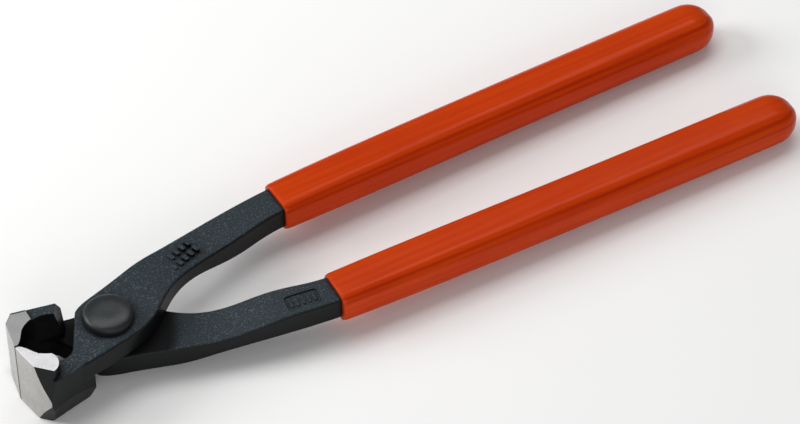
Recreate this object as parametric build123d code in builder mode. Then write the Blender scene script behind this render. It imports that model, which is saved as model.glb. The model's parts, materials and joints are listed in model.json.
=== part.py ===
from build123d import *
from math import cos, pi, sin, sqrt
import os

os.makedirs("parts", exist_ok=True)

# Tile nippers: two identical forged levers, one turned over, crossing in a lap joint on a rivet.
# X runs from the jaws to the handles and Z along the pivot. The origin is under the middle of the
# tool's length, on the surface that the jaws' undersides lie on.

# Overall sizes, in millimetres
handle_reach = 194.2  # pivot axis to the end of the grips
cutter_reach = 25.8  # pivot axis to the cutting edges
head_height = 20.0  # jaws, top facet to bottom facet
head_width = 25.2  # across both jaws at their widest

# Lap joint and rivet
plate_thickness = 6.5
plate_inside = 8.9  # pivot to the plate's edge on its own handle's side
plate_outside = 9.3  # pivot to the plate's edge on the other side
lap_clearance = 0.08
shank_diameter = 8.0
shank_clearance = 0.05
rivet_head_diameter = 12.9
upper_head_height = 2.8
lower_head_height = 1.6
rivet_round = 1.3

# Jaws
edge_gap = 0.1  # between the two cutting edges when closed
edge_land = 0.8
front_set_back = 1.2  # how far the ground front falls back over its nearly flat part
front_flat = 7.2  # half width of that part
front_corner = 3.3  # how far the front has fallen back where it meets the jaw's side
corner_slant = 45.0  # degrees from X of the jaw's blunted front corner
corner_bulge = 2.0  # how far that corner stands out at its tip
corner_drop = 1.5  # how far the tip lies below mid height
corner_shift = 0.5  # how far that corner stands beyond the end of the flat front
facet_end_round = 3.6  # the facet's rounded rear end
facet_end_back = 5.0  # its centre, from the hollow's widest point
facet_end_side = 8.4  # its centre, from the cutting edge's plane
neck_step = 0.8  # the neck lies this much inside the ground facet
neck_swing = 3.7  # room between the neck and the other lever's plate
ridge_drop = 1.7  # the neck's parting ridge, below the lap plane
neck_line = 12.0  # degrees from X of that ridge
neck_reach = 8.5  # how far the ridge lies from the pivot, square to that line
neck_slope = 2.4  # how far the side below the ridge leans in
neck_round = 1.0
neck_draft = 1.2  # how much the neck's rear leans
bowl_width = 13.6  # the hollow behind the cutting edges
bowl_centre = 16.6  # pivot to the widest point of the hollow

# Handle arms
arm_width = 9.0
arm_thickness = 6.8
arm_start = 64.0  # pivot to where the arm becomes the straight core
arm_level = 44.0  # pivot to where its top and bottom run level
arm_spread = 17.75  # pivot line to the arm's middle there
core_spread = 20.15  # the same at the handle's end
arm_bow = 0.3  # how far the handle bows outward between its ends
crotch = 16.4  # pivot to where the two arms part
arm_round = 0.7

# Grips
upper_grip_start = 57.3
lower_grip_start = 55.3
grip_width = 13.4
grip_height = 11.1
grip_corner = 4.6  # at the rounded end; the section is squarer towards the rim
rim_corner = 2.7
grip_wall = 1.35  # at the rim, where the grip is slimmest
grip_end_wall = 4.0
grip_dome = 7.5  # length of the rounded end
rim_round = 0.4

# Size stamp and maker's pads
stamp_length = 9.0
stamp_width = 5.0
stamp_depth = 0.35
stamp_round = 1.0
stamp_bar = 0.8
stamp_bars = 5
stamp_pitch = 1.6
stamp_reach = 46.6  # pivot axis to the stamp's middle
stamp_turn = 7.0  # degrees
pad_reach = 26.2  # pivot axis to the pads' middle
pad_turn = 22.0
pad_length = 1.2
pad_width = 2.0
pad_round = 0.35
pad_pitch = 2.1
pad_row = 3.0
pads_in_row = 5
pad_top = 4.95  # above the lap plane

mid_height = head_height / 2
jaw_half = head_width / 2
core_end = handle_reach - grip_end_wall
hole_radius = shank_diameter / 2 + shank_clearance
neck_radius = plate_inside + neck_swing
plate_bottom = lap_clearance / 2


def handle_middle(x):
    """Distance of the handle's middle line from the pivot line."""
    share = (x - arm_start) / (handle_reach - arm_start)
    return arm_spread + (core_spread - arm_spread) * share + 4 * arm_bow * share * (1 - share)


def handle_slope(x):
    """Slope of that line."""
    share = (x - arm_start) / (handle_reach - arm_start)
    rise = core_spread - arm_spread + 4 * arm_bow * (1 - 2 * share)
    return rise / (handle_reach - arm_start)


# The straight steel under the grip, with the lap plane at Z = 0
with BuildPart() as core:
    halfway = (arm_start + core_end) / 2
    core_ends = ((1, handle_slope(arm_start)), (1, handle_slope(core_end)))
    with BuildSketch(Plane.XY.offset(-arm_thickness / 2)) as core_plan:
        with BuildLine():
            stations = (arm_start, halfway, core_end)
            outer = Spline(*((x, handle_middle(x) + arm_width / 2) for x in stations), tangents=core_ends)
            inner = Spline(*((x, handle_middle(x) - arm_width / 2) for x in stations), tangents=core_ends)
            Line(outer @ 0, inner @ 0)
            Line(outer @ 1, inner @ 1)
        make_face()
    extrude(amount=arm_thickness)

# Arm and joint plate, on the same plane
with BuildPart() as arm:
    with BuildSketch(Plane.XY.offset(-mid_height)) as plan:
        with BuildLine():
            outer_rim = (arm_start, arm_spread + arm_width / 2)
            inner_rim = (arm_start, arm_spread - arm_width / 2)
            plate_front = (-plate_inside * 0.72, plate_inside * 0.69)
            neck_root = (-cutter_reach * 0.66, -plate_outside * 1.22)
            rim_slope = handle_slope(arm_start)
            Spline(
                outer_rim,
                (arm_start * 0.72, arm_spread + arm_width * 0.33),
                (arm_start * 0.4, arm_spread - arm_width * 0.1),
                (0, plate_inside),
                plate_front,
                tangents=((-1, -rim_slope), (-0.75, -0.66)),
            )
            bowl_edge = ThreePointArc(
                plate_front, (-plate_inside * 1.1, 0.2), (-bowl_centre * 0.74, -plate_inside * 0.5)
            )
            bowl_corner = Spline(
                bowl_edge @ 1, (neck_root[0], -bowl_width / 2), tangents=(bowl_edge % 1, (-1, -0.1))
            )
            Line(bowl_corner @ 1, neck_root)
            Spline(
                neck_root,
                (-plate_outside * 0.25, -plate_outside * 1.0),
                (crotch * 0.63, -plate_outside * 0.56),
                (crotch, 0),
                (crotch + 6, arm_width * 0.48),
                (arm_start * 0.56, arm_spread - arm_width * 1.01),
                (arm_start * 0.72, arm_spread - arm_width * 0.76),
                inner_rim,
                tangents=((1, 0.03), (1, rim_slope)),
            )
            Line(inner_rim, outer_rim)
        make_face()
    extrude(amount=head_height)
    with BuildSketch(Plane.XZ.offset(-handle_reach)) as side:
        with BuildLine():
            arm_top = arm_thickness / 2
            front = -cutter_reach
            Line((arm_start, arm_top), (arm_level, arm_top))
            Spline(
                (arm_level, arm_top),
                (crotch + 6, arm_top + 0.46 * (plate_thickness - arm_top)),
                (crotch * 0.7, plate_thickness),
                tangents=((-1, 0), (-1, 0)),
            )
            Polyline(
                (crotch * 0.7, plate_thickness), (front, plate_thickness),
                (front, plate_bottom), (crotch + 0.4, plate_bottom),
            )
            Spline(
                (crotch + 0.4, plate_bottom),
                ((crotch + arm_level) / 2, -arm_top * 0.37),
                (arm_level, -arm_top),
                tangents=((1, 0), (1, 0)),
            )
            Line((arm_level, -arm_top), (arm_start, -arm_top))
            Line((arm_start, -arm_top), (arm_start, arm_top))
        make_face()
    extrude(amount=2 * handle_reach, mode=Mode.INTERSECT)
    add(core.part)
    long_edges = arm.edges().filter_by(lambda edge: abs((edge @ 0).X - (edge @ 1).X) > arm_round)
    fillet(long_edges, radius=arm_round)

# One jaw, full height, with its ground front and the hollow behind the cutting edge
with BuildPart() as jaw:
    with BuildSketch(Plane.XY.offset(-mid_height)) as jaw_plan:
        with BuildLine():
            edge = (-cutter_reach, -edge_gap / 2)
            flat_end = (-cutter_reach + front_set_back, -front_flat)
            widest = (-cutter_reach + front_corner, -jaw_half)
            neck_out = (-plate_inside, -plate_outside * 1.02)
            neck_in = (-plate_inside, -bowl_width * 0.3)
            front_line = Line(edge, flat_end)
            Spline(flat_end, widest, tangents=(front_line % 1, (0.45, -0.9)))
            Spline(widest, neck_out, tangents=((1, 0), (1, 0.45)))
            Line(neck_out, neck_in)
            land_end = (-cutter_reach + edge_land, -edge_gap / 2)
            Spline(
                neck_in,
                (-bowl_centre, -bowl_width / 2),
                (-bowl_centre - 5, -bowl_width * 0.33),
                land_end,
                tangents=((-1, -0.5), (-0.75, 0.66)),
            )
            Line(land_end, edge)
        make_face()
    extrude(amount=head_height)
    # The front corner is blunted by a surface that bulges at mid height
    slant = corner_slant * pi / 180
    corner_plane = Plane(
        origin=(0, 0, 0), x_dir=(-sin(slant), -cos(slant), 0), z_dir=(cos(slant), -sin(slant), 0)
    )
    corner_out = front_flat * cos(slant) + (cutter_reach - front_set_back) * sin(slant) + corner_shift
    with BuildSketch(corner_plane) as corner_profile:
        with BuildLine():
            Polyline(
                (corner_out, -mid_height), (corner_out + corner_bulge, corner_drop),
                (corner_out, mid_height), (-head_width, mid_height), (-head_width, -mid_height),
                close=True,
            )
        make_face()
    extrude(amount=2 * cutter_reach, both=True, mode=Mode.INTERSECT)
    # Below a ridge near mid height the outer side leans in
    line = neck_line * pi / 180
    neck_plane = Plane(
        origin=(0, 0, 0), x_dir=(sin(line), -cos(line), 0), z_dir=(-cos(line), -sin(line), 0)
    )
    with BuildSketch(neck_plane) as neck_profile:
        with BuildLine():
            Polyline(
                (neck_reach - neck_slope, -mid_height), (neck_reach, -ridge_drop),
                (neck_reach, mid_height), (-head_width, mid_height), (-head_width, -mid_height),
                close=True,
            )
        make_face()
        foot_corner = neck_profile.vertices().sort_by_distance((neck_reach, -mid_height))[0]
        fillet(foot_corner, radius=neck_round)
    extrude(amount=4 * cutter_reach, both=True, mode=Mode.INTERSECT)

with BuildPart() as forging:
    add(jaw.part)
    # Room for the other lever's plate, which swings under this one
    with Locations((0, 0, plate_bottom)):
        Cone(
            bottom_radius=neck_radius + neck_draft,
            top_radius=neck_radius - neck_draft,
            height=mid_height + plate_bottom,
            align=(Align.CENTER, Align.CENTER, Align.MAX),
            mode=Mode.SUBTRACT,
        )
    # Above the plate the jaw ends in a step behind its ground facet
    with BuildSketch(Plane.XY.offset(plate_thickness)) as facet_end:
        with Locations((-bowl_centre - facet_end_back, 0)):
            Rectangle(cutter_reach, head_width * 2, align=(Align.MIN, Align.CENTER))
        with Locations((-bowl_centre - facet_end_back, -facet_end_side)):
            Circle(facet_end_round, mode=Mode.SUBTRACT)
    extrude(amount=mid_height, mode=Mode.SUBTRACT)
    # Below, the neck lies a little inside the ground facet
    with Locations((-bowl_centre - 1.6, 0, -mid_height)):
        Box(
            cutter_reach, head_width * 2, neck_step,
            align=(Align.MIN, Align.CENTER, Align.MIN), mode=Mode.SUBTRACT,
        )
    add(arm.part)
    Hole(hole_radius)


pivot_place = -(handle_reach - cutter_reach) / 2
lap_centre = (pivot_place, 0, mid_height)


def grip(start):
    """A sleeve over the handle, open at start and rounded at the far end."""
    rim_width = arm_width + 2 * grip_wall
    rim_height = arm_thickness + 2 * grip_wall
    body_length = handle_reach - grip_dome - start
    lip = [(start, 0, 1 - rim_round / rim_height), (start + 2 * rim_round, 0, 1)]
    body = [
        (lip[1][0] + share * (body_length - 2 * rim_round), sqrt(share), 1)
        for share in (0, 0.15, 0.4, 0.7, 1)
    ]
    turns = [turn * pi / 180 for turn in (0, 25, 45, 62, 76)]
    dome = [
        (handle_reach - grip_dome * (1 - sin(turn) / sin(turns[-1])), 1, cos(turn)) for turn in turns
    ]
    with BuildPart() as sleeve:
        for stretch in (lip, body, dome):
            for x, grown, scale in stretch:
                section = Plane(
                    origin=(x, handle_middle(x), 0),
                    x_dir=(-handle_slope(x), 1, 0),
                    z_dir=(1, handle_slope(x), 0),
                )
                with BuildSketch(section):
                    RectangleRounded(
                        scale * (rim_width + grown * (grip_width - rim_width)),
                        scale * (rim_height + grown * (grip_height - rim_height)),
                        scale * (rim_corner + grown**2 * (grip_corner - rim_corner)),
                    )
            loft()
        add(arm.part, mode=Mode.SUBTRACT)
    return sleeve.part


with BuildPart() as upper_grip:
    with Locations(lap_centre):
        add(grip(upper_grip_start))

with BuildPart() as lower_grip:
    with Locations(lap_centre):
        add(grip(lower_grip_start), rotation=(180, 0, 0))


def finish(piece, name):
    """Label a finished piece and write it."""
    piece.part.label = name
    export_step(piece.part, f"parts/{name}.step")


# The upper lever is the forging with its plate on top, and rows of small pads on its arm
with BuildPart() as upper_lever:
    with Locations(lap_centre):
        add(forging.part)
    with BuildSketch(Plane.XY.offset(mid_height + arm_thickness / 2)):
        with Locations(Location((pivot_place + pad_reach, handle_middle(arm_start) * 0.63, 0), (0, 0, pad_turn))):
            with GridLocations(pad_pitch, pad_row, pads_in_row, 2):
                RectangleRounded(pad_length, pad_width, pad_round)
    extrude(amount=pad_top - arm_thickness / 2)

# The lower lever is the same forging turned over about X
with BuildPart() as lower_lever:
    with Locations(lap_centre):
        add(forging.part, rotation=(180, 0, 0))
    # A sunk panel by the grip, with plain raised bars in it
    stamp_place = Location((pivot_place + stamp_reach, -handle_middle(arm_start) * 0.94, 0), (0, 0, -stamp_turn))
    with BuildSketch(Plane.XY.offset(mid_height + arm_thickness / 2)):
        with Locations(stamp_place):
            RectangleRounded(stamp_length, stamp_width, stamp_round)
    extrude(amount=-stamp_depth, mode=Mode.SUBTRACT)
    with BuildSketch(Plane.XY.offset(mid_height + arm_thickness / 2 - stamp_depth)):
        with Locations(stamp_place):
            with GridLocations(stamp_pitch, 0, stamp_bars, 1):
                RectangleRounded(stamp_bar, stamp_width - 3 * stamp_bar, stamp_bar * 0.4)
    extrude(amount=stamp_depth * 0.8)

# One rivet, headed on both sides of the lap
with BuildPart() as rivet:
    with BuildSketch(Plane.XZ) as rivet_profile:
        with BuildLine():
            head = rivet_head_diameter / 2
            shank = shank_diameter / 2
            top = plate_thickness
            bottom = -plate_thickness
            dome_edge = (head - rivet_round, top + upper_head_height * 0.88)
            crown = Spline(
                (0, top + upper_head_height),
                dome_edge,
                (head, top + upper_head_height * 0.4),
                tangents=((1, 0), (0, -1)),
            )
            foot = Spline(
                (head, bottom - lower_head_height * 0.3),
                (head - rivet_round, bottom - lower_head_height * 0.92),
                (0, bottom - lower_head_height),
                tangents=((0, -1), (-1, 0)),
            )
            Polyline(
                crown @ 1, (head, top), (shank, top), (shank, bottom), (head, bottom), foot @ 0
            )
            Line(foot @ 1, crown @ 0)
        make_face()
    revolve(axis=Axis.Z)

with BuildPart() as pivot_rivet:
    with Locations(lap_centre):
        add(rivet.part)

finish(upper_lever, "upper_lever")
finish(lower_lever, "lower_lever")
finish(pivot_rivet, "pivot_rivet")
finish(upper_grip, "upper_grip")
finish(lower_grip, "lower_grip")
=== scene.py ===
import json
import math
import bpy
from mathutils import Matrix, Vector


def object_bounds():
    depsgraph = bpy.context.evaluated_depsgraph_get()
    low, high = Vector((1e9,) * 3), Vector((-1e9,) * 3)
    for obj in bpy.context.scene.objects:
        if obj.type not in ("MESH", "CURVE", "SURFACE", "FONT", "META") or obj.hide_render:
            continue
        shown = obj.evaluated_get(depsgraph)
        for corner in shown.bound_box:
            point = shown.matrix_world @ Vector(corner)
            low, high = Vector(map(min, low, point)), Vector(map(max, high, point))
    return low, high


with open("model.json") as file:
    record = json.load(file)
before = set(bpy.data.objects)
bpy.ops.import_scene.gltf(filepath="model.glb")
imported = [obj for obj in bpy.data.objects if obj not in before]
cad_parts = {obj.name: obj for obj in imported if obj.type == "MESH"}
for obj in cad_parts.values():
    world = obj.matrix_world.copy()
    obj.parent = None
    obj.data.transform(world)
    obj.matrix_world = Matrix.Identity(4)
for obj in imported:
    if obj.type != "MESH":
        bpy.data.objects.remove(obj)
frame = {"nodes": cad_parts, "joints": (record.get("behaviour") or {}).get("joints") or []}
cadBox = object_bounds()
nodes = frame["nodes"]
midHeight = (cadBox[0][2] + cadBox[1][2]) / 2  # the lap plane, where the two levers meet
rivetPlace = frame["joints"][0]["pos_m"]  # a point on the rivet's axis, in metres
print("frame loaded, nodes:", sorted(nodes))


class Wire:
    # the output of a node, which can be added, subtracted and multiplied like a number

    def __init__(self, finish, socket):
        self.finish = finish
        self.socket = socket

    def maths(self, operation, *terms):
        return self.finish.node("ShaderNodeMath", {"operation": operation}, dict(enumerate(terms)))

    def __add__(self, other):
        return self.maths("ADD", self, other)

    def __radd__(self, other):
        return self.maths("ADD", other, self)

    def __sub__(self, other):
        return self.maths("SUBTRACT", self, other)

    def __rsub__(self, other):
        return self.maths("SUBTRACT", other, self)

    def __mul__(self, other):
        return self.maths("MULTIPLY", self, other)

    def __rmul__(self, other):
        return self.maths("MULTIPLY", other, self)

    def absolute(self):
        return self.maths("ABSOLUTE", self)

    def clamped(self):
        return self.finish.node("ShaderNodeClamp", {}, {"Value": self})

    def between(self, low, high):  # 0 below low, 1 above high, smooth between them
        settings = {"interpolation_type": "SMOOTHSTEP"}
        return self.finish.node("ShaderNodeMapRange", settings, {0: self, 1: low, 2: high})

    def near(self, value, full, none):  # 1 within full of the value, 0 beyond none
        return 1 - (self - value).absolute().between(full, none)


class Finish:
    # one material, with the one way its nodes are made

    def __init__(self, name):
        self.material = bpy.data.materials.new(name)
        self.material.use_nodes = True
        self.tree = self.material.node_tree
        self.tree.nodes.clear()

    def node(self, kind, settings, feeds, out=0):
        made = self.tree.nodes.new(kind)
        for name, value in settings.items():
            setattr(made, name, value)
        for name, value in feeds.items():
            if isinstance(value, Wire):
                self.tree.links.new(value.socket, made.inputs[name])
            else:
                made.inputs[name].default_value = value
        return None if out is None else Wire(self, made.outputs[out])

    def vector(self, operation, first, second, out=0):
        return self.node("ShaderNodeVectorMath", {"operation": operation}, {0: first, 1: second}, out)

    def millimetres(self, stretch=(1, 1, 1)):  # where a point is on the piece
        place = self.node("ShaderNodeTexCoord", {}, {}, "Object")
        return self.vector("MULTIPLY", place, [1000 * share for share in stretch])

    def along(self, axis, place):
        return self.node("ShaderNodeSeparateXYZ", {}, {0: place}, axis)

    def noise(self, perMillimetre, detail=2.0, roughness=0.5, stretch=(1, 1, 1)):
        return self.node("ShaderNodeTexNoise", {"noise_dimensions": "3D"}, {
            "Vector": self.millimetres(stretch), "Scale": perMillimetre,
            "Detail": detail, "Roughness": roughness,
        })

    def mixed(self, share, first, second):
        return self.node("ShaderNodeMix", {"data_type": "RGBA"}, {0: share, 6: first, 7: second}, 2)

    def normal(self):
        return self.node("ShaderNodeNewGeometry", {}, {}, "Normal")

    def flatness(self):  # 1 on a level face, above or below, and 0 on a wall
        return self.along("Z", self.normal()).absolute()

    def rounded(self, radius):
        return self.node("ShaderNodeBevel", {"samples": 6}, {"Radius": radius})

    def edge(self, radius):  # above 0 on a sharp edge, 0 on the flat beside it
        return 1 - self.vector("DOT_PRODUCT", self.rounded(radius), self.normal(), "Value")

    def openness(self, reach):  # 1 in the open, less in a corner or under something
        return self.node("ShaderNodeAmbientOcclusion", {"samples": 6}, {"Distance": reach}, "AO")

    def bump(self, height, distance, radius):  # relief on top of softly rounded edges
        return self.node("ShaderNodeBump", {}, {
            "Height": height, "Distance": distance, "Strength": 1.0, "Normal": self.rounded(radius),
        })

    def done(self, feeds):
        shader = self.node("ShaderNodeBsdfPrincipled", {}, feeds)
        self.node("ShaderNodeOutputMaterial", {}, {"Surface": shader}, None)
        return self.material


forging = {
    "paintedLitTopColour": (0.021, 0.030, 0.036, 1),
    "paintedShadedSideColour": (0.005, 0.006, 0.006, 1),
    "paintedGlintColour": (0.110, 0.140, 0.170, 1),
    "wornColour": (0.12, 0.13, 0.125, 1),
    "paintedShadeColour": (0.0025, 0.0025, 0.003, 1),
    "topFlatness": (0.55, 0.97),  # from a smooth wall, painted darker as shade, to a sandy broad face, painted lighter as lit
    "grainPerMillimetre": 2.1,
    "grainHeight": 0.00012,
    "grainOnWalls": 0.25,
    "glintRange": (0.52, 0.66),
    "glintShare": 0.75,
    "glintLeast": 0.35,
    "glintPatches": 0.9,
    "patchPerMillimetre": 0.06,
    "dentPerMillimetre": 0.45,
    "dentDepth": 0.5,
    "dentMoreOnTop": 0.6,
    "edgeRadius": 0.0004,
    "edgeRange": (0.10, 0.45),
    "wearPerMillimetre": 0.5,
    "wearRange": (0.40, 0.62),
    "wearShare": 0.55,
    "creviceShadeReach": 0.014,
    "creviceShadeRange": (0.52, 0.93),
    "rootShadowRadius": (15.0, 19.0),  # millimetres from the rivet's axis
    "rootShadowDepth": (0.8, 2.0),  # millimetres from the lap plane
    "rootShadowShare": 0.9,
    "roughness": 0.46,
    "rootShadowRoughness": 0.25,
    "grainRoughness": 0.20,
    "wallGloss": 0.10,
    "wearGloss": 0.08,
    "specular": 0.15,
}


def paintForging():
    use = forging
    black = Finish("blackLacquerOnForging")
    top = black.flatness().between(*use["topFlatness"])
    grain = black.noise(use["grainPerMillimetre"], detail=3.0, roughness=0.7)
    dents = black.noise(use["dentPerMillimetre"], detail=3.0, roughness=0.6)
    patches = black.noise(use["patchPerMillimetre"])
    # painted highlight: lighter glints on the level faces, where light catches the grain
    glint = grain.between(*use["glintRange"]) * top * (use["glintLeast"] + use["glintPatches"] * patches)
    wear = black.noise(use["wearPerMillimetre"], detail=3.0).between(*use["wearRange"])
    edgeWear = black.edge(use["edgeRadius"]).between(*use["edgeRange"]) * wear
    # painted shade: darker in corners, recesses and under things, where shade falls
    paintedCreviceShade = 1 - black.openness(use["creviceShadeReach"]).between(*use["creviceShadeRange"])

    # a painted shadow on the arms' roots, round the rivet and close to the lap plane, where the upper
    # lever shades the lower arm
    place = black.millimetres()
    fromRivet = black.vector("ADD", place, [-1000 * part for part in rivetPlace])
    reach = black.vector("LENGTH", black.vector("MULTIPLY", fromRivet, (1, 1, 0)), (0, 0, 0), "Value")
    paintedRootShadow = (1 - reach.between(*use["rootShadowRadius"])) * top
    paintedRootShadow = paintedRootShadow * black.along("Z", place).near(1000 * midHeight, *use["rootShadowDepth"])

    # painted light and shade: the level faces are painted lighter as lit, the walls darker as shaded
    colour = black.mixed(top, use["paintedShadedSideColour"], use["paintedLitTopColour"])
    colour = black.mixed(glint * use["glintShare"], colour, use["paintedGlintColour"])
    colour = black.mixed(edgeWear * use["wearShare"], colour, use["wornColour"])
    colour = black.mixed(paintedCreviceShade, colour, use["paintedShadeColour"])
    colour = black.mixed(paintedRootShadow * use["rootShadowShare"], colour, use["paintedShadeColour"])
    relief = grain * (use["grainOnWalls"] + (1 - use["grainOnWalls"]) * top)
    relief = relief + dents * (use["dentDepth"] + use["dentMoreOnTop"] * top)
    roughness = use["roughness"] + use["rootShadowRoughness"] * paintedRootShadow + use["grainRoughness"] * (grain - 0.5)
    roughness = roughness - use["wallGloss"] * (1 - top) - use["wearGloss"] * edgeWear
    return black.done({
        "Base Color": colour,
        "Metallic": 0.0,
        "Roughness": roughness,
        "Specular IOR Level": use["specular"],
        "Normal": black.bump(relief, use["grainHeight"], use["edgeRadius"]),
    })


groundSteel = {
    "frontColour": (0.48, 0.465, 0.450, 1),
    "litNearFacetColour": (0.70, 0.70, 0.71, 1),
    "shadedFarFacetColour": (0.33, 0.33, 0.33, 1),
    "speckColour": (0.20, 0.20, 0.21, 1),
    "paintedGapShadowColour": (0.012, 0.012, 0.013, 1),
    "frontStretch": (1, 0.25, 1),  # the front is ground across the jaws
    "facetStretch": (0.6, 1, 1),
    "linesPerMillimetre": 3.2,
    "lineHeight": 0.000010,
    "cloudPerMillimetre": 0.30,
    "lineWeight": 0.6,
    "cloudWeight": 0.5,
    "shadeRange": (0.35, 0.75),
    "shadeShare": 0.28,
    "specksPerMillimetre": 2.6,
    "speckRange": (0.60, 0.70),
    "frontSpecks": 0.05,
    "litNearFacetSpecks": 0.30,
    "shadedFarFacetSpecks": 0.12,
    "gapShadowReach": (0.27, 0.45),  # millimetres from the middle, where the jaws meet and a painted shadow marks the gap between them
    "gapShadowShare": 0.9,
    "roughness": 0.38,
    "lineRoughness": 0.14,
    "cloudRoughness": 0.10,
    "edgeRadius": 0.00015,
}


def paintGroundSteel(name, part, stretch):
    use = groundSteel
    steel = Finish(name)
    lines = steel.noise(use["linesPerMillimetre"], detail=3.0, stretch=stretch)
    cloud = steel.noise(use["cloudPerMillimetre"])
    specks = steel.noise(use["specksPerMillimetre"]).between(*use["speckRange"])
    # painted shadow: a dark line on the steel where the jaws meet, standing in for the shade in the gap
    paintedGapShadow = steel.along("Y", steel.millimetres()).near(0, *use["gapShadowReach"])
    shade = (lines * use["lineWeight"] + cloud * use["cloudWeight"]).between(*use["shadeRange"])
    colour = steel.mixed(shade * use["shadeShare"], use[part + "Colour"], use["speckColour"])
    colour = steel.mixed(specks * use[part + "Specks"], colour, use["speckColour"])
    colour = steel.mixed(paintedGapShadow * use["gapShadowShare"], colour, use["paintedGapShadowColour"])
    roughness = use["lineRoughness"] * (lines - 0.5) + use["cloudRoughness"] * (cloud - 0.5)
    return steel.done({
        "Base Color": colour,
        "Metallic": 1.0,
        "Roughness": use["roughness"] + roughness,
        "Normal": steel.bump(lines, use["lineHeight"], use["edgeRadius"]),
    })


rivetHead = {
    "colour": (0.012, 0.016, 0.018, 1),
    "paintedShadedSideColour": (0.004, 0.005, 0.005, 1),
    "wornColour": (0.10, 0.11, 0.115, 1),
    "crownFlatness": (0.70, 0.96),  # from the side of the head, painted dark as shade, to its crown, painted lighter as lit
    "pitPerMillimetre": 0.8,
    "pitHeight": 0.00003,
    "rubPerMillimetre": 1.9,
    "rubRange": (0.64, 0.74),
    "rubShare": 0.35,
    "edgeRadius": 0.0008,
    "wearRange": (0.03, 0.25),
    "wearShare": 0.4,
    "wearOnSide": 0.3,
    "roughness": 0.34,
    "pitRoughness": 0.14,
    "sideRoughness": 0.20,
    "specular": 0.40,
}


def paintRivet():
    use = rivetHead
    satin = Finish("satinBlackRivet")
    crown = satin.flatness().between(*use["crownFlatness"])
    pitting = satin.noise(use["pitPerMillimetre"], detail=4.0, roughness=0.6)
    rubbed = satin.noise(use["rubPerMillimetre"]).between(*use["rubRange"])
    worn = satin.edge(use["edgeRadius"]).between(*use["wearRange"])
    worn = (worn * use["wearShare"] + rubbed * use["rubShare"]).clamped()
    worn = worn * (use["wearOnSide"] + (1 - use["wearOnSide"]) * crown)
    # painted light and shade: the side of the head darker as shaded, the crown lighter as lit
    colour = satin.mixed(crown, use["paintedShadedSideColour"], use["colour"])
    roughness = use["pitRoughness"] * (pitting - 0.5) + use["sideRoughness"] * (1 - crown)
    return satin.done({
        "Base Color": satin.mixed(worn, colour, use["wornColour"]),
        "Roughness": use["roughness"] + roughness,
        "Specular IOR Level": use["specular"],
        "Normal": satin.bump(pitting, use["pitHeight"], use["edgeRadius"]),
    })


gripSleeve = {
    "colour": (0.56, 0.046, 0.0012, 1),
    "deepColour": (0.44, 0.024, 0.0012, 1),
    "paintedDarkReflectionColour": (0.22, 0.004, 0.003, 1),
    "paintedHighlightColour": (0.75, 0.14, 0.05, 1),
    "streaksPerMillimetre": 0.8,
    "streakStretch": (0.02, 1, 1),  # long streaks, down the sleeve
    "streakWeight": 0.7,
    "cloudPerMillimetre": 0.04,
    "cloudWeight": 0.4,
    "deepRange": (0.42, 0.68),
    "deepShare": 0.55,
    "reflectionLineLean": 0.72,  # how level the sleeve is along its upper painted dark reflection line
    "reflectionLineWidth": (0.03, 0.14),
    "reflectionLineLeast": 0.15,
    "reflectionLineStreaks": 0.5,
    "lowReflectionLineLean": 0.30,
    "lowReflectionLineWidth": (0.02, 0.10),
    "edgeHighlightRadius": 0.0005,
    "edgeHighlightRange": (0.08, 0.35),
    "edgeHighlightShare": 0.7,
    "skinPerMillimetre": 0.30,
    "skinStretch": (0.2, 1, 1),
    "skinHeight": 0.00006,
    "edgeRadius": 0.0004,
    "roughness": 0.20,
    "streakRoughness": 0.08,
    "specular": 0.085,
}


def paintGrip():
    use = gripSleeve
    vinyl = Finish("orangeDippedVinyl")
    streaks = vinyl.noise(use["streaksPerMillimetre"], detail=3.0, stretch=use["streakStretch"])
    cloud = vinyl.noise(use["cloudPerMillimetre"])
    skin = vinyl.noise(use["skinPerMillimetre"], detail=1.0, stretch=use["skinStretch"])
    lean = vinyl.flatness()
    deep = (streaks * use["streakWeight"] + cloud * use["cloudWeight"]).between(*use["deepRange"])
    # painted reflections: two dark lines along the sleeve, where it turns from its top to its side
    paintedReflectionLine = lean.near(use["reflectionLineLean"], *use["reflectionLineWidth"])
    paintedReflectionLine = paintedReflectionLine * (use["reflectionLineLeast"] + use["reflectionLineStreaks"] * streaks)
    lowPaintedReflectionLine = lean.near(use["lowReflectionLineLean"], *use["lowReflectionLineWidth"]) * (use["reflectionLineStreaks"] * streaks)
    # painted highlight: lighter orange along the sleeve's edges and lips, where light catches them
    paintedEdgeHighlight = vinyl.edge(use["edgeHighlightRadius"]).between(*use["edgeHighlightRange"])
    colour = vinyl.mixed(deep * use["deepShare"], use["colour"], use["deepColour"])
    colour = vinyl.mixed(paintedReflectionLine, colour, use["paintedDarkReflectionColour"])
    colour = vinyl.mixed(lowPaintedReflectionLine, colour, use["paintedDarkReflectionColour"])
    colour = vinyl.mixed(paintedEdgeHighlight * use["edgeHighlightShare"], colour, use["paintedHighlightColour"])
    return vinyl.done({
        "Base Color": colour,
        "Roughness": use["roughness"] + use["streakRoughness"] * (streaks - 0.5),
        "Specular IOR Level": use["specular"],
        "Normal": vinyl.bump(skin, use["skinHeight"], use["edgeRadius"]),
    })


grinding = {
    "frontReach": -0.1015,  # the ground front lies beyond this, and faces forward
    "frontTurn": -0.3,
    "frontTilt": 0.08,
    "facetReach": -0.09,  # the facets lie beyond this, level with the object's top or underside
    "facetLevel": 0.999,
    "facetDepth": 0.00005,
}


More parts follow.
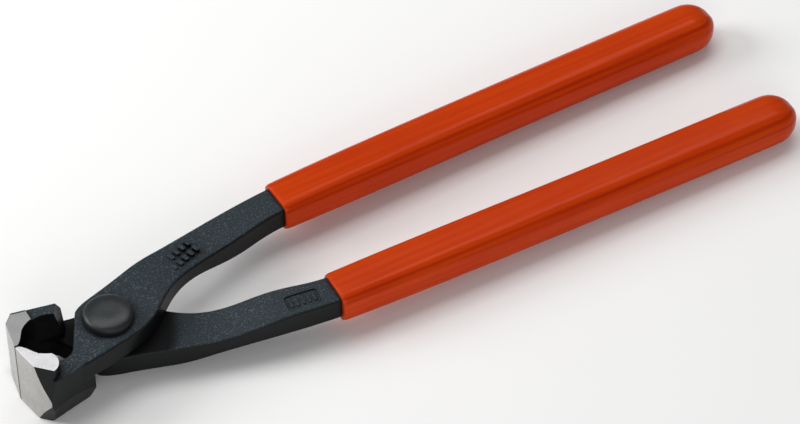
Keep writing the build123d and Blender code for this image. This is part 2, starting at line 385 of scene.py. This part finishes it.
def groundPlace(face):  # 0 where the forging is black, 1 on the jaw's front, 2 on its facets
    use = grinding
    centre, outward = face.center, face.normal
    if centre.x < use["frontReach"] and outward.x < use["frontTurn"] and abs(outward.z) < use["frontTilt"]:
        return 1
    onTopOrUnder = abs(centre.z - midHeight) > midHeight - use["facetDepth"]
    if centre.x < use["facetReach"] and abs(outward.z) > use["facetLevel"] and onTopOrUnder:
        return 2
    return 0


def dress(name, finishes):
    slots = nodes[name].data.materials
    slots.clear()
    for finish in finishes:
        slots.append(finish)


blackFinish = paintForging()
frontFinish = paintGroundSteel("groundJawFront", "front", groundSteel["frontStretch"])
# the two top facets are the same ground steel: the near one is painted lighter as lit, the far one darker
# as shaded
facetFinishes = {
    "upper_lever": paintGroundSteel("paintedLitJawFacet", "litNearFacet", groundSteel["facetStretch"]),
    "lower_lever": paintGroundSteel("paintedShadedJawFacet", "shadedFarFacet", groundSteel["facetStretch"]),
}
for name, facetFinish in facetFinishes.items():
    dress(name, (blackFinish, frontFinish, facetFinish))
    for face in nodes[name].data.polygons:
        face.material_index = groundPlace(face)
print("levers painted")

dress("pivot_rivet", [paintRivet()])
gripFinish = paintGrip()
for name in ("upper_grip", "lower_grip"):
    dress(name, [gripFinish])
print("rivet and grips painted")


paperFloor = {
    "colour": (0.96, 0.96, 0.955, 1),
    "mottleDepth": 0.98,
    "mottlePerMillimetre": 0.02,
    "roughness": 0.9,
    "halfWidth": 2,
    "tilt": 1.2,  # degrees, so that the jaws and the ends of the grips lie on it
    "levelAt": -0.107,  # where it passes just under the jaws
    "drop": 0.0002,
}


def layFloor():
    use = paperFloor
    paper = Finish("palePaper")
    mottle = paper.noise(use["mottlePerMillimetre"])
    finish = paper.done({
        "Base Color": paper.mixed(mottle, use["colour"], [use["mottleDepth"] * c for c in use["colour"]]),
        "Roughness": use["roughness"],
    })
    slope = math.tan(math.radians(use["tilt"]))
    side = use["halfWidth"]
    corners = [
        (x, y, (x - use["levelAt"]) * slope - use["drop"])
        for x, y in ((-side, -side), (side, -side), (side, side), (-side, side))
    ]
    mesh = bpy.data.meshes.new("floor")
    mesh.from_pydata(corners, [], [(0, 1, 2, 3)])
    mesh.materials.append(finish)
    floor = bpy.data.objects.new("floor", mesh)
    bpy.context.scene.collection.objects.link(floor)


softboxes = {  # place, aim, size and watts
    "overheadSoftbox": ((0.08, 0.36, 0.90), (0.08, 0.36, 0), (1.15, 0.52), 4.9),
    "keySoftbox": ((-0.75, 0.55, 0.50), (-0.03, 0, 0), (0.45, 0.45), 6.5),
    "frontFill": ((-0.45, -0.95, 0.45), (0, 0, 0), (0.9, 0.6), 4.2),
}
studioWorld = {
    "colour": (1.0, 1.0, 1.0, 1),
    "strength": 0.23,
}


def pointAt(thing, place, aim):
    thing.location = place
    thing.rotation_euler = (Vector(aim) - Vector(place)).to_track_quat("-Z", "Y").to_euler()
    bpy.context.scene.collection.objects.link(thing)


def lightStudio():
    for name, (place, aim, size, watts) in softboxes.items():
        light = bpy.data.lights.new(name, "AREA")
        light.shape = "RECTANGLE"
        light.size, light.size_y = size
        light.energy = watts
        pointAt(bpy.data.objects.new(name, light), place, aim)
    world = bpy.data.worlds.new("studio")
    bpy.context.scene.world = world
    world.use_nodes = True
    backdrop = world.node_tree.nodes["Background"]
    backdrop.inputs["Color"].default_value = studioWorld["colour"]
    backdrop.inputs["Strength"].default_value = studioWorld["strength"]


catalogueView = {
    "place": (-0.3098, -0.5413, 0.6873),
    "aim": (0.0004, 0.0, 0.010),
    "lens": 158.7,
    "sensorWidth": 36,
    "clipStart": 0.01,
}


def setCamera():
    use = catalogueView
    lens = bpy.data.cameras.new("camera")
    lens.lens = use["lens"]
    lens.sensor_width = use["sensorWidth"]
    lens.clip_start = use["clipStart"]
    camera = bpy.data.objects.new("camera", lens)
    pointAt(camera, use["place"], use["aim"])
    bpy.context.scene.camera = camera


layFloor()
lightStudio()
setCamera()
bpy.context.scene.view_settings.view_transform = "Standard"
print("floor, lights and camera set")
